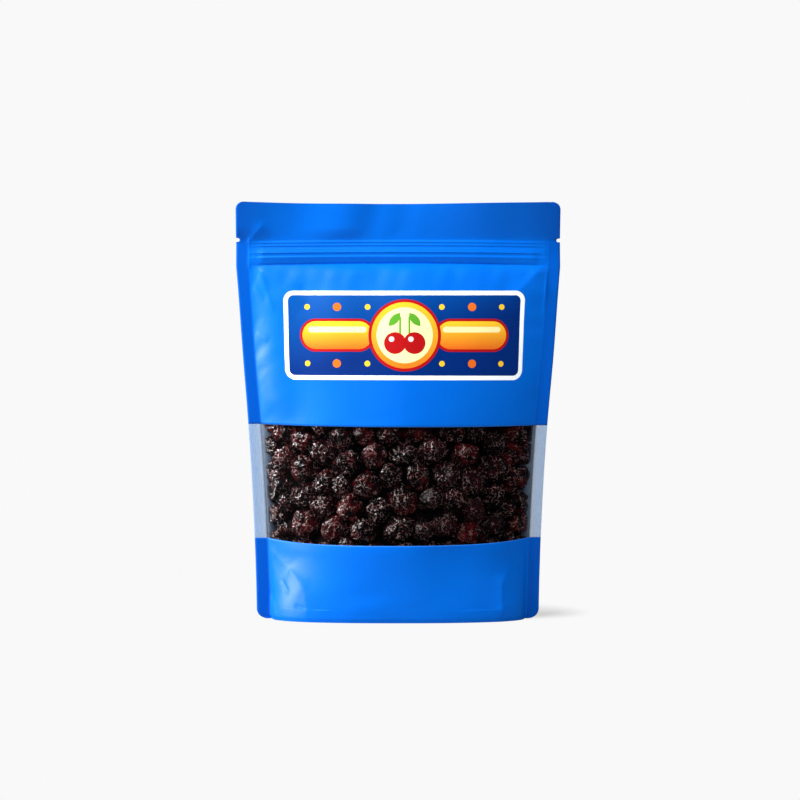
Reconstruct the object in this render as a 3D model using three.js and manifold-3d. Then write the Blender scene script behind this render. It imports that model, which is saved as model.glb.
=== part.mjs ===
// A shut stand-up pouch of dried sour cherries: a flat header with a press zip and tear notches,
// side seals, a belly that swells towards a gusseted base, and a clear band all round its lower half
// where the cherries show. Millimetres, +Z up, front towards -Y.
// The origin is on the floor, under the middle of the pouch.

import * as THREE from 'three';
import { mergeVertices } from 'three/addons/utils/BufferGeometryUtils.js';
import Module from 'manifold-3d';

const wasm = await Module();
wasm.setup();

// Pouch outline, seen from the front
const HEIGHT = 191.6;
const HEADER_WIDTH = 149.3;
const BASE_WIDTH = 129.2;
const SPREAD = 1.6; // power of the curve by which the sides spread from the base to the zip
const SEAL = 5.6; // width of the side seals
const TOP_CORNER = 3.4; // radius
const BASE_CORNER = 4.7; // radius
const SHEET = 0.5; // half the thickness of the seals and of the header

// Belly, a lens of two arcs in plan
const BELLY_TOP = 162; // it closes here, under the zip
const BELLY_DEPTH = 30; // from the middle to the film, at the base
const BELLY_FALL = 0.62; // power of the curve by which the depth falls towards the zip

// Towards the base the plan is boxier than an arc: it drops steeply at both ends
const BOX_RISE = 32; // the boxy plan has turned into the arc at this height
const BOX_END = 0.97; // share of the half width where it starts
const BOX_SQUARE = 2.5; // powers of its curve
const BOX_STEEP = 0.45;

// Press zip, from its lower edge upwards: height above the lower edge, relief on each face
const ZIP_FOOT = 164.9;
const ZIP_RELIEF = [[0, 0], [0.4, 0.7], [1.5, 0.7], [2.1, 0.25], [2.9, 1.1], [6, 1.1], [6.7, 0.25],
  [7.5, 0.7], [9.1, 0.7], [9.6, 0]];
const ZIP_FADE = 12; // power by which the relief dies out beside the seals

// Tear notches, one in each side seal
const NOTCH_HEIGHT = 174.2; // of its middle
const NOTCH_WIDTH = 2.2;
const NOTCH_DEPTH = 1.9;

// Gusset, the folded base between the front and the back
const RIM = 2.2; // width of the flat edge that the pouch stands on
const GUSSET_EDGE = 2.4; // its height just inside the rim
const GUSSET_FOLD = 4.4; // its height along the fold
const GUSSET_END = 5; // from the seals to the ends of the gusset

// Clear band
const BAND_FOOT = 37.4;
const BAND_HEAD = 89.4;
const FOOT_SAG = 2; // how far its edges dip in the middle
const HEAD_SAG = 0.9;

// Cherries
const CHERRIES = 198;
const CHERRY_RADIUS = 5.8; // the smallest
const CHERRY_SPREAD = 1.5; // the largest has this much more
const HEAP_FOOT = 24; // they are packed between these heights
const HEAP_HEAD = 103;
const SETTLING_STEPS = 160;
const PUSH = 0.4; // share of an overlap that each of a pair moves in one step
const PULL = 0.1; // how strongly the outer ones are drawn to the film
const PULLED = 0.3; // share of the belly's depth beyond which they are
const FILM_GAP = 0.25; // from the inside of the film to the cherries
const SHOWING = 1; // a cherry shows when it comes this near the film
const CORE_DEPTH = 6.5; // from the film to the core that the cherries are fused to
const CORE_SIDE = 5; // from the side seals to the core
const CLEAR = 0.3; // gap between the pouch and the heap

const COLUMNS = 22; // steps across each face
const BELLY_ROWS = 20;
const CORNER_ROWS = 3;

const range = (count) => Array.from({ length: count }, (_, i) => i);
const fraction = (value) => value - Math.floor(value);

// How far a rounded corner of this radius is set in, at a distance from the end
function cornerInset(distance, radius) {
  if (distance >= radius) return 0;
  return radius - Math.sqrt(radius ** 2 - (radius - distance) ** 2);
}

// Half the pouch's width at a height, before its corners are rounded
function halfWidth(z) {
  const risen = Math.min(z / BELLY_TOP, 1);
  return (BASE_WIDTH + (HEADER_WIDTH - BASE_WIDTH) * risen ** SPREAD) / 2;
}

// From the middle of the pouch to the film at its fullest, at a height
function bellyDepth(z) {
  const risen = Math.min(z / BELLY_TOP, 1);
  return BELLY_DEPTH * (1 - risen ** 2) ** BELLY_FALL;
}

function zipRelief(z) {
  const above = z - ZIP_FOOT;
  for (const i of range(ZIP_RELIEF.length - 1)) {
    const [low, from] = ZIP_RELIEF[i];
    const [high, to] = ZIP_RELIEF[i + 1];
    if (above >= low && above <= high) return from + (to - from) * (above - low) / (high - low);
  }
  return 0;
}

// A closed ring at one height: the front from left to right, then the back from right to left.
// Both are arcs of this depth over the chord from -half to half, and edge is half their distance
// at the ends. Boxy, from 0 to 1, moves them towards the boxy plan of the base.
function lensRing(half, depth, edge, z, { relief = 0, boxy = 0 } = {}) {
  const sagitta = Math.max(depth, 0.001);
  const radius = (half ** 2 + sagitta ** 2) / (2 * sagitta);
  const sweep = Math.asin(half / radius);
  const front = range(COLUMNS + 1).map((i) => {
    const u = 2 * i / COLUMNS - 1;
    const x = radius * Math.sin(u * sweep);
    const arc = sagitta - radius * (1 - Math.cos(u * sweep));
    const box = sagitta * Math.max(1 - Math.abs(x / half / BOX_END) ** BOX_SQUARE, 0) ** BOX_STEEP;
    const out = edge + arc + boxy * (box - arc) + relief * (1 - u ** ZIP_FADE);
    return [x, -out, z];
  });
  return [...front, ...mirrored(front)];
}

function mirrored(front) {
  return front.toReversed().map(([x, y, z]) => [x, -y, z]);
}

// A ring of the pouch, which adds the side seals to the lens
function pouchRing(z) {
  const half = halfWidth(z);
  const inner = half - SEAL;
  const inset = cornerInset(z, BASE_CORNER) + cornerInset(HEIGHT - z, TOP_CORNER);
  const shape = { relief: zipRelief(z), boxy: 1 - THREE.MathUtils.smoothstep(z, 0, BOX_RISE) };
  const lens = lensRing(inner, bellyDepth(z), SHEET, z, shape).slice(0, COLUMNS + 1);
  const front = [[-half + inset, -SHEET, z], ...lens, [half - inset, -SHEET, z]];
  return [...front, ...mirrored(front)];
}

// A closed mesh through rings that lie one above the other. The ends are capped by strips that join
// each front point to the back point behind it.
function loft(rings) {
  const size = rings[0].length;
  const index = [];
  const quad = (a, b, c, d) => index.push(a, b, c, a, c, d);
  for (const row of range(rings.length - 1)) {
    for (const i of range(size)) {
      const next = (i + 1) % size;
      quad(row * size + i, row * size + next, (row + 1) * size + next, (row + 1) * size + i);
    }
  }
  const top = (rings.length - 1) * size;
  for (const i of range(size / 2 - 1)) {
    const behind = size - 1 - i;
    quad(i, behind, behind - 1, i + 1);
    quad(top + i, top + i + 1, top + behind - 1, top + behind);
  }
  const geometry = new THREE.BufferGeometry();
  geometry.setAttribute('position', new THREE.Float32BufferAttribute(rings.flat(2), 3));
  geometry.setIndex(index);
  return geometry;
}

function solidOf(geometry) {
  const bare = geometry.clone();
  bare.deleteAttribute('normal');
  bare.deleteAttribute('uv');
  const merged = mergeVertices(bare, 1e-4);
  return new wasm.Manifold(new wasm.Mesh({
    numProp: 3,
    vertProperties: new Float32Array(merged.attributes.position.array),
    triVerts: new Uint32Array(merged.index.array),
  }));
}

function meshOf(name, solid, material) {
  const { vertProperties, triVerts } = solid.getMesh();
  const geometry = new THREE.BufferGeometry();
  geometry.setAttribute('position', new THREE.BufferAttribute(vertProperties, 3));
  geometry.setIndex(new THREE.BufferAttribute(triVerts, 1));
  geometry.computeVertexNormals();
  const mesh = new THREE.Mesh(geometry, material);
  mesh.name = name;
  return mesh;
}

// A shape drawn in the front view, carried from front to back through the whole pouch
function throughCut(shape) {
  const length = 3 * BELLY_DEPTH;
  const geometry = new THREE.ExtrudeGeometry(shape, { depth: length, bevelEnabled: false });
  geometry.rotateX(Math.PI / 2);
  geometry.translate(0, length / 2, 0);
  return solidOf(geometry);
}

// The clear band between the side seals, made smaller all round by a gap
function bandShape(gap) {
  const foot = BAND_FOOT + gap;
  const head = BAND_HEAD - gap;
  const footHalf = halfWidth(foot) - SEAL - gap;
  const headHalf = halfWidth(head) - SEAL - gap;
  const shape = new THREE.Shape();
  shape.moveTo(-footHalf, foot);
  shape.quadraticCurveTo(0, foot - 2 * FOOT_SAG, footHalf, foot);
  shape.lineTo(headHalf, head);
  shape.quadraticCurveTo(0, head - 2 * HEAD_SAG, -headHalf, head);
  shape.closePath();
  return shape;
}

function notchCut(side) {
  const edge = halfWidth(NOTCH_HEIGHT);
  const r = NOTCH_WIDTH / 2;
  const tip = edge - NOTCH_DEPTH + r;
  const shape = new THREE.Shape();
  shape.moveTo(edge + 1, NOTCH_HEIGHT + r);
  shape.lineTo(tip, NOTCH_HEIGHT + r);
  shape.absarc(tip, NOTCH_HEIGHT, r, Math.PI / 2, 3 * Math.PI / 2);
  shape.lineTo(edge + 1, NOTCH_HEIGHT - r);
  shape.closePath();
  const points = shape.getPoints(5).map((p) => new THREE.Vector2(side * p.x, p.y));
  return throughCut(new THREE.Shape(points));
}

// The hollow under the base: straight sides inside the rim, then a roof up to the fold
function gussetCut() {
  const half = halfWidth(0) - SEAL - GUSSET_END;
  const depth = bellyDepth(0) - RIM;
  return solidOf(loft([
    lensRing(half, depth, SHEET, -1, { boxy: 1 }),
    lensRing(half, depth, SHEET, GUSSET_EDGE, { boxy: 1 }),
    lensRing(half, 0, 0.4, GUSSET_FOLD),
  ]));
}

function pouchLevels() {
  const corner = range(CORNER_ROWS + 1).map((i) => 1 - Math.cos(i / CORNER_ROWS * Math.PI / 2));
  const base = corner.map((share) => share * BASE_CORNER);
  const step = (BELLY_TOP - BASE_CORNER) / BELLY_ROWS;
  const belly = range(BELLY_ROWS).map((i) => BASE_CORNER + (i + 1) * step);
  const shoulder = [belly.at(-1) - step / 2, belly.at(-1) - step / 5];
  const zip = ZIP_RELIEF.map(([above]) => ZIP_FOOT + above);
  const top = corner.map((share) => HEIGHT - share * TOP_CORNER);
  return [...base, ...belly, ...shoulder, ...zip, ...top].sort((a, b) => a - b);
}

function makePouch() {
  return solidOf(loft(pouchLevels().map(pouchRing)))
    .subtract(throughCut(bandShape(0)))
    .subtract(notchCut(1))
    .subtract(notchCut(-1))
    .subtract(gussetCut());
}

// Evenly scattered numbers from 0 to 1, one for each cherry and purpose
const R3_STEPS = [0.8191725134, 0.6710436067, 0.5497004779]; // powers of the root of x^4 = x + 1
const SHAPE_STEPS = [0.7548776662, 0.5698402910, 0.3819660113];
const scattered = (i, step) => fraction(0.5 + (i + 1) * step);

// The film's arcs at a height, as their radius and how far their centres are behind the middle
function filmArc(z) {
  const half = halfWidth(z) - SEAL;
  const depth = bellyDepth(z);
  const radius = (half ** 2 + depth ** 2) / (2 * depth);
  return { radius, behind: radius - depth };
}

// How far a cherry's centre is inside the film of one side, -1 for the front
function insideFilm(centre, side) {
  const { radius, behind } = filmArc(centre.z);
  return radius - Math.hypot(centre.x, centre.y + side * behind);
}

function keepInside(centre, radius) {
  centre.z = THREE.MathUtils.clamp(centre.z, HEAP_FOOT + radius, HEAP_HEAD - radius);
  for (const side of [-1, 1]) {
    const arc = filmArc(centre.z);
    const reach = Math.hypot(centre.x, centre.y + side * arc.behind);
    const limit = arc.radius - radius - FILM_GAP;
    if (reach > limit) {
      centre.x *= limit / reach;
      centre.y = (centre.y + side * arc.behind) * limit / reach - side * arc.behind;
    }
  }
}

// Scattered cherries pushed apart where they overlap, and kept inside the film
function settledCherries() {
  const cherries = range(CHERRIES).map((i) => ({
    number: i,
    radius: CHERRY_RADIUS + CHERRY_SPREAD * scattered(i, SHAPE_STEPS[0]),
    centre: new THREE.Vector3(
      (2 * scattered(i, R3_STEPS[0]) - 1) * BASE_WIDTH / 2,
      (2 * scattered(i, R3_STEPS[1]) - 1) * BELLY_DEPTH,
      HEAP_FOOT + scattered(i, R3_STEPS[2]) * (HEAP_HEAD - HEAP_FOOT),
    ),
  }));
  for (const cherry of cherries) keepInside(cherry.centre, cherry.radius);
  const apart = new THREE.Vector3();
  for (const _ of range(SETTLING_STEPS)) {
    const moves = cherries.map(() => new THREE.Vector3());
    for (const a of cherries) {
      for (const b of cherries.slice(a.number + 1)) {
        apart.subVectors(a.centre, b.centre);
        const overlap = a.radius + b.radius - apart.length();
        if (overlap <= 0) continue;
        apart.setLength(overlap * PUSH);
        moves[a.number].add(apart);
        moves[b.number].sub(apart);
      }
    }
    for (const { number, radius, centre } of cherries) {
      centre.add(moves[number]);
      const outward = Math.max(Math.abs(centre.y) / bellyDepth(centre.z) - PULLED, 0);
      centre.y += Math.sign(centre.y) * PULL * outward;
      keepInside(centre, radius);
    }
  }
  return cherries;
}

// One cherry: a ball with few sides, a little flattened, lumpy and turned its own way
function cherrySolid({ number, radius, centre }) {
  const geometry = new THREE.IcosahedronGeometry(radius, 1);
  const [flat, turn, lean] = SHAPE_STEPS.map((step) => scattered(number, step * 3));
  geometry.scale(1, 0.86 + 0.12 * flat, 0.94);
  geometry.rotateZ(2 * Math.PI * turn);
  geometry.rotateX(Math.PI * lean);
  geometry.translate(centre.x, centre.y, centre.z);
  return solidOf(geometry);
}

// The core behind the cherries, at an even depth below the film
function coreSolid() {
  const levels = range(5).map((i) => BAND_FOOT - 6 + i * (BAND_HEAD - BAND_FOOT + 12) / 4);
  return solidOf(loft(levels.map((z) => {
    return lensRing(halfWidth(z) - SEAL - CORE_SIDE, bellyDepth(z) - CORE_DEPTH, SHEET, z);
  })));
}

function makeCherries() {
  const showing = settledCherries().filter(({ centre, radius }) => {
    const nearest = Math.min(insideFilm(centre, -1), insideFilm(centre, 1));
    const inBand = centre.z > BAND_FOOT - FOOT_SAG - radius / 2 && centre.z < BAND_HEAD + radius / 2;
    return inBand && nearest - radius < SHOWING;
  });
  const heap = showing.reduce((sum, cherry) => sum.add(cherrySolid(cherry)), coreSolid());
  return heap.intersect(throughCut(bandShape(CLEAR)));
}

const film = new THREE.MeshStandardMaterial({ color: 0x0a74e4, roughness: 0.42, metalness: 0 });
const fruit = new THREE.MeshStandardMaterial({ color: 0x2b0e12, roughness: 0.5, metalness: 0 });

const pouchOfCherries = new THREE.Group();
pouchOfCherries.add(meshOf('pouch', makePouch(), film));
pouchOfCherries.add(meshOf('cherries', makeCherries(), fruit));

export default pouchOfCherries;
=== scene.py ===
"""The looks of a shut stand-up pouch of dried sour cherries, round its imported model.

Lengths are in millimetres, but in metres for meshes, noises, bumps and lights. Each face of the pouch is
worked out from the place on the flat film: across, from the middle, and up, from the base.
"""

import math

import bpy
import numpy as np
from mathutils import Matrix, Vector


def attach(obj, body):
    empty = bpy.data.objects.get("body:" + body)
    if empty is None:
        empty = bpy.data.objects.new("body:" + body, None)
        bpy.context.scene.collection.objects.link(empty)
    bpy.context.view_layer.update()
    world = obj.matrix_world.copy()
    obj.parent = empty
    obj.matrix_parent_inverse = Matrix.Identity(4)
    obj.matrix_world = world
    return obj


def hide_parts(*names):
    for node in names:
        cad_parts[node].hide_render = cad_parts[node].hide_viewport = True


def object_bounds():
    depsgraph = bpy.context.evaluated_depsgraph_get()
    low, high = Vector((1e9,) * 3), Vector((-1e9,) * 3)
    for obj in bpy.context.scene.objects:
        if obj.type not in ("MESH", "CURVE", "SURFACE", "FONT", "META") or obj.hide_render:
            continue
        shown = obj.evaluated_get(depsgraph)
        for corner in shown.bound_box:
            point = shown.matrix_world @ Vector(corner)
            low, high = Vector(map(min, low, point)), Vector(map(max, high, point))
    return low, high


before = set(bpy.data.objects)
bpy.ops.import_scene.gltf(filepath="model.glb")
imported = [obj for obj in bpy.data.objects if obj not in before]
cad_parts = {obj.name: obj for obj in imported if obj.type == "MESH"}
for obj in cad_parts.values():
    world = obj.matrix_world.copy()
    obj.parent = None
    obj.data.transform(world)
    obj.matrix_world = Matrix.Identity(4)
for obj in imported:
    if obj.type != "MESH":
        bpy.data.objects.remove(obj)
CAD_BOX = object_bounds()

MM = 0.001
LOW, HIGH = (np.array(corner) / MM for corner in CAD_BOX)
HAIR = 1e-6  # what rounding may take off a place

# Pouch outline
HEADER_DROP = 0.4  # the header leans, so its edge is a little lower
HEIGHT = HIGH[2] - LOW[2] - HEADER_DROP
HEADER_WIDTH = HIGH[0] - LOW[0] - 0.15  # a little inside the model
BASE_WIDTH = 129.2
SPREAD = 1.6  # power of the curve by which the sides spread from the base to the zip
SIDE_SWELL = 0.6  # the sides are this much further out round SWELL_HEIGHT
SWELL_HEIGHT = 122.0
SWELL_REACH = 26.0
SEAL = 5.6  # width of the side seals
LEFT_SEAL_MORE = 0.45  # the left one is this much wider below the lower of these heights
LEFT_SEAL_UP = (80.0, 130.0)
TOP_CORNER = 3.4
BASE_CORNER = 4.7
SHEET = 0.16  # half the thickness of the seals and of the header
FILM = 0.155  # thickness of one film

# Belly, a lens of two arcs in plan
BELLY_TOP = 162.0
BELLY_DEPTH = HIGH[1] - 0.5  # leaves room for the relief
BELLY_FALL = 0.62
BELLY_LEAST = 0.01  # an arc needs some depth
FILM_HALF = HEADER_WIDTH / 2 - SEAL  # from the middle of the flat film to a seal

# Towards the base the plan is boxier than an arc: it drops steeply at both ends
BOX_RISE = 32.0  # the boxy plan has turned into the arc at this height
BOX_END = 0.985  # share of the half width where it starts
BOX_SQUARE = 2.5  # powers of its curve
BOX_STEEP = 0.45
BOX_LIP = 0.03  # share of the depth that it rises to before that, evenly from the seal

# Press zip: height of each edge of its relief above its lower edge, and how far it stands out there
ZIP_FOOT = 165.0
ZIP_EDGES = (-2.7, -1.9, -0.6, 0.45, 0.8, 1.3, 1.6, 2.3, 2.8, 5.5, 5.7, 6.0, 6.9, 7.2, 7.5, 8.6)
ZIP_RELIEF = (0.0, 0.42, 0.8, 1.13, 1.17, 0.9, 0.85, 0.86, 1.2, 0.24, 0.3, 0.5, 0.25, 0.23, 0.44, 0.0)
ZIP_TOP = ZIP_FOOT + ZIP_EDGES[-1]
ZIP_END = (0.9, 0.95)  # shares of the half width between which it drops
ZIP_END_DROP = 0.5
RIB_TRACK = (2.7, 3.0, 5.3, 5.6)  # where its fine ribs start and end, above its lower edge
RIB_PITCH = 0.78
RIB_HEIGHT = 0.04

# Tear notches
NOTCH_HEIGHT = 174.0
NOTCH_RADIUS = 0.95
NOTCH_DEPTH = 1.65

# Clear band
BAND_FOOT = 37.2
BAND_HEAD = 89.1
FOOT_SAG = 2.0  # its lower edge dips, so cherries that much lower show too
HAZE_WIDTH = 4.6  # beside the seals the clear film is hazy
SEAL_HAZE = 5.0  # the seals turn paler over this width towards their inner edge
SEAL_SHADE = 1.0  # and carry a painted shade over this one right beside it, where the film turns away

# How far a line across the film dips in its middle, and how much higher its right side is, at these heights
SAG_HEIGHTS = (0.0, 22.0, 37.0, 89.2, 110.0, 151.0, 162.0, 166.0, 174.0, 191.0)
SAG_DEPTHS = (0.0, 1.6, 2.5, 1.0, 0.3, 0.4, -1.0, -0.6, -0.5, 0.75)
TILTS = (0.0, 0.05, 0.12, -0.3, -0.2, 0.0, 0.0, 0.0, 0.0, 0.0)
SAG_POWERS = (3, 2)  # powers of the dip's curve at these heights
SAG_POWER_HEIGHTS = (40, 80)

# Base
SEAM_HEIGHT = 6.0
RIM = 2.2  # flat, and rolled in at the film's lower edge
GUSSET_EDGE = 2.4
GUSSET_FOLD = 4.4
GUSSET_SLOPE = 2.2  # how sharp its fold is
GUSSET_INSET = 0.4  # inside the film
GUSSET_LIFT = 0.1  # from the floor to its edge
GUSSET_WAVES = 0.1
GUSSET_WAVE_LENGTH = 14
GUSSET_ON_MAP = 40  # its middle's place on the map
GUSSET_ROWS = 61
GUSSET_COLUMNS = 121
SEAL_COLUMNS = 6
FOLD_ROUND = 0.5  # a crease is this round
FOLD_FADE = (-0.25, 0.2, 0.7, 1.25)  # shares of its length at which it starts, is full, falls and is over

# Bends of the header, by how far each goes
LEAN = 0.1  # forwards above the zip, for each millimetre of height
LEANS = ((0.3, -5, 55), (0.14, -45, -75))  # and this much more, growing between these places across
BOW = 0.12  # backwards on the right
CURL = 1.7  # forwards at the left corner
HILL = 1.5  # a wide fold left of the middle
WAVES = 0.17  # small upright waves
HEADER_CREASE = ((-69, ZIP_TOP - 1), (-61.5, ZIP_TOP + 8), 0.65, 1.8, 3.6)
LEFT_TURN = -0.015  # turn of the side seals, backwards for each millimetre beyond the belly
RIGHT_TURN = 0.1

# Relief of the film, by how far each kind stands out
SEAL_HOLD = 40  # power by which it dies out at the side seals
ZIP_SIDE_LINE = (0.22, -0.18)  # a line along the seals, at the zip's left and right end
RIGHT_SIDE_LINE = ((0.5, 152, 10), (0.3, 31, 6))  # and along the right one: height, place up, reach
SHOULDER = 0.9  # the upper left of the belly is fuller
UNEVEN = 0.3
DENTS = 0.17
CRUMPLES = 0.12
CRUMPLE_RIDGES = 0.11
RIDGE_SHARP = 2.2  # of crumples and of wrinkles
SEAM = 0.03
SEAM_SWELLS = ((0.2, -36.5, 5), (0.2, 38, 9))  # more at these places across, over this reach
ROLL = 0.3  # the lower edge is rolled in
CALM = 0.75  # over the clear band the film is this much calmer

# Cherries, packed by the rule that the model's heap uses
CHERRIES = 198
CHERRY_RADIUS = 5.8
CHERRY_SPREAD = 1.5
CHERRY_FULL = 1.06  # this much larger, to make up for its wrinkles and dimples
HEAP_FOOT = 24.0
HEAP_HEAD = 103.0
SETTLING_STEPS = 160
PUSH = 0.4  # share of an overlap by which each of the two gives way in a step
PULL = 0.1  # how far a step draws a cherry to the film, beyond the share PULLED of the depth
PULLED = 0.3
FILM_GAP = 0.25
SHOWING = 1.0  # a cherry nearer to the film shows, and one further in than DEEPEST isn't made
DEEPEST = 12
EDGE_STEP = 10.4  # small cherries lie beside both seals, this far apart
EDGE_SHIFT = 2.2  # and up to this much higher
EDGE_INSIDE = 0.93  # share of its radius from such a cherry's middle to the seal
EDGE_RADIUS = 4.8
EDGE_SPREAD = 0.9
EDGE_CLEAR = 0.44  # a cherry nearer to one of them than this share of both radii is left out
GAP_STEP = 1.5  # spacing of the places tried for filling a gap
GAP_FROM_SEAL = 5
GAP_RADIUS = 5.2
GAP_INSIDE = 0.8
GAP_LEFT = 2.5  # nothing is added nearer than this to the others' skins
CORE_LIGHT = (54.0, 62.5)  # from painted shade to painted light between these distances from the middle
CORE_DEPTH = 9.0  # from the film to the middle of the heap, painted dark as shade
CORE_UNDER = 0.3  # its thin wings reach this far in under the side seals
CORE_WING = 0.6  # half their thickness
CORE_BEYOND = 8  # it ends this far beyond the clear band
CORE_LEVELS = 13
CORE_COLUMNS = 41
PLACE_STEPS = np.array([0.8191725134, 0.6710436067, 0.5497004779])
SHAPE_STEPS = np.array([0.7548776662, 0.5698402910, 0.3819660113])

# Shape of one cherry, its heights as shares of its radius
DIMPLE = 0.3
DIMPLE_WIDTH = 0.42  # angle from the stalk
FLATTENED = 0.05
LUMPS = 0.06
LUMP_WAVES = 2.4
WRINKLES = ((5, 0.18, 0.5), (10, 0.09, 0.45), (19, 0.03, 0.4))  # waves to a turn, height, and their mean
CHERRY_INSIDE = (0.4, 1.5)  # least millimetres inside the film, at the clear band and beyond it
BAND_NEAR = 1  # how far from the band is still at it

# Printed panel on the front, in flat film places
PANEL_MIDDLE = (2.95, 130.2)
PANEL_HALF = (55.9, 20.46)
PANEL_CORNER = 4.7
PANEL_BORDER = 2.0
PANEL_SLANT = 0.27  # the panel's colour changes along this slope, from the upper left
PRINT_SOFT = 0.16
BAR_PLACE = 31  # from the panel's middle to a bar's
DOT_UP = 13
PRINT_SCALE = 200.0  # length of film that the film's own map spans


def smooth_step(low, high, value):
    """Rises from 0 at low to 1 at high, flat at both ends."""
    share = np.clip((value - low) / (high - low), 0, 1)
    return share * share * (3 - 2 * share)


def plateau(start, full, falling, over, value):
    """0 up to start, 1 from full to falling and 0 again from over on, with flat ends between them."""
    return smooth_step(start, full, value) * (1 - smooth_step(falling, over, value))


def bell(value, width):
    """1 at zero, falling to both sides as a bell of this width."""
    return np.exp(-((value / width) ** 2))


def ripples(points, length, seed, count=12):
    """A smooth random field of about unit size: a sum of sine waves that run in random directions, each
    about this long. The last axis of points holds their coordinates."""
    draw = np.random.default_rng(seed)
    ways = draw.normal(size=(count, points.shape[-1]))
    ways /= np.linalg.norm(ways, axis=1, keepdims=True)
    ways *= 2 * np.pi / (length * draw.uniform(0.75, 1.4, (count, 1)))
    starts = draw.uniform(0, 2 * np.pi, count)
    return np.sin(points @ ways.T + starts).sum(-1) * math.sqrt(2 / count)


def half_width(z):
    """Half the pouch's width at a height: the base's, growing as a power of the height up to the zip, with a
    slight swell above the clear band."""
    risen = np.clip(z / BELLY_TOP, 0, 1)
    swell = SIDE_SWELL * bell(z - SWELL_HEIGHT, SWELL_REACH)
    return (BASE_WIDTH + (HEADER_WIDTH - BASE_WIDTH) * risen**SPREAD) / 2 + swell


def belly_depth(z):
    """From the middle of the pouch to the film at its fullest: the base's depth, falling to nothing below
    the zip."""
    risen = np.clip(z / BELLY_TOP, 0, 1)
    return BELLY_DEPTH * (1 - risen**2) ** BELLY_FALL


def film_arc(z):
    """The arc that one film follows in plan at a height: half its chord, its depth, and its radius, which is
    the square of half the chord and that of the depth, over twice the depth."""
    half = half_width(z) - SEAL
    depth = np.clip(belly_depth(z), BELLY_LEAST, None)
    return half, depth, (half**2 + depth**2) / (2 * depth)


def corner_inset(distance, radius):
    """How far a rounded corner is set in, at a distance from the end: a quarter circle."""
    inside = np.clip(radius - distance, 0, radius)
    return radius - np.sqrt(radius**2 - inside**2)


def edge_inset(up):
    """How far the outer edge of a side seal is set in, by its rounded corners and its tear notch."""
    corners = corner_inset(up, BASE_CORNER) + corner_inset(HEIGHT - up, TOP_CORNER)
    off = np.abs(up - NOTCH_HEIGHT)
    slot = NOTCH_DEPTH - NOTCH_RADIUS + np.sqrt(np.clip(NOTCH_RADIUS**2 - off**2, 0, None))
    return corners + np.where(off < NOTCH_RADIUS + HAIR, slot, 0)


def boxy_plan(share):
    """The boxy plan of the base, 1 in the middle: a power curve that drops steeply near both ends, and from
    there falls evenly to nothing at the seals."""
    box = np.clip(1 - (np.abs(share) / BOX_END) ** BOX_SQUARE, 0, None) ** BOX_STEEP
    return np.maximum(box, BOX_LIP * np.clip((1 - np.abs(share)) / (1 - BOX_END), 0, 1))


def fold(across, up, start, end, height, wide, sharp):
    """Relief of one crease from start to end: it falls off evenly on its left over the width wide and on its
    right over the width sharp, and dies out at both ends."""
    start, end = np.array(start, float), np.array(end, float)
    length = np.linalg.norm(end - start)
    way = (end - start) / length
    along = (across - start[0]) * way[0] + (up - start[1]) * way[1]
    off = (up - start[1]) * way[0] - (across - start[0]) * way[1]
    ends = np.exp(-np.clip(-along, 0, None) / wide - np.clip(along - length, 0, None) / wide)
    ends = ends * plateau(*FOLD_FADE, along / length)
    away = np.sqrt(off**2 + FOLD_ROUND**2) - FOLD_ROUND
    return height * np.exp(-away / np.where(off > 0, wide, sharp)) * ends


def header_sway(across, up):
    """Both films of the header bend together: they bow back to the right, and above the zip they lean
    forwards, curl forwards at the left corner, and have a fold above the end of the zip and small upright
    waves."""
    above = np.clip(up - ZIP_TOP, 0, None)
    slope = LEAN + sum(more * smooth_step(start, full, across) for more, start, full in LEANS)
    past = np.clip(across - 34, 0, None)
    bow = BOW * past**2 / (past + 12) * smooth_step(148, 172, up)
    curl = CURL * smooth_step(48, 80, -across + 0.5 * above)
    hill = HILL * bell(across + 27 - 0.2 * above, 11)
    wave = WAVES * np.sin((across + 11 - 0.25 * above) / 2.6) * bell(across + 5, 17)
    bend = (curl + hill + wave) * smooth_step(ZIP_TOP - 2, ZIP_TOP + 6, up)
    return bow - bend - slope * above**2 / (above + 1.5) - fold(across, up, *HEADER_CREASE)


def seal_turn(across, up):
    """The side seals turn a little to the right: the left one forwards, the right one back beside the
    print."""
    beside = np.clip(np.abs(across) - FILM_HALF, 0, SEAL)
    return beside * np.where(across > 0, RIGHT_TURN * plateau(105, 135, 156, 166, up), LEFT_TURN)


# Creases of the front: start and end on the film, height, and widths to the left and right of that way
FRONT_FOLDS = (
    ((-63, 159), (-44, 146), 0.7, 1.4, 7.0),
    ((-63.5, 159), (-58, 142), 0.5, 1.2, 3.0),
    ((-65, 161.5), (-45, 152.5), 0.65, 1.0, 3.4),
    ((-67, 152), (-62.5, 147), 0.3, 0.8, 1.6),
    ((-67, 131), (-61, 128.5), 0.25, 0.8, 1.6),
    ((66, 161), (53, 148), 0.8, 6.0, 2.5),
    ((-68, 32.5), (-52.4, 22.7), 0.18, 2.0, 5.0),
    ((-53.5, 23.4), (-44.7, 16.5), 0.5, 2.5, 6.0),
    ((-44.7, 17), (-44.0, -4), 0.42, 4.0, 6.5),
    ((-59.5, 18.5), (-55.2, 13), -0.35, 1.2, 1.0),
    ((-68, 13), (-66, 8.5), -0.4, 0.8, 0.8),
    ((-66.5, 9), (-63.5, 0.5), 0.5, 0.9, 0.9),
    ((-50.5, 7.4), (-44.5, 6.5), -0.25, 0.7, 0.7),
    ((55.5, 25), (50.5, 18), 0.4, 5.0, 3.0),
    ((50.5, 20), (50, 3), 1.05, 5.0, 2.8),
    ((49.5, 7), (52.5, 0), 0.4, 3.0, 2.0),
)
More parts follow.
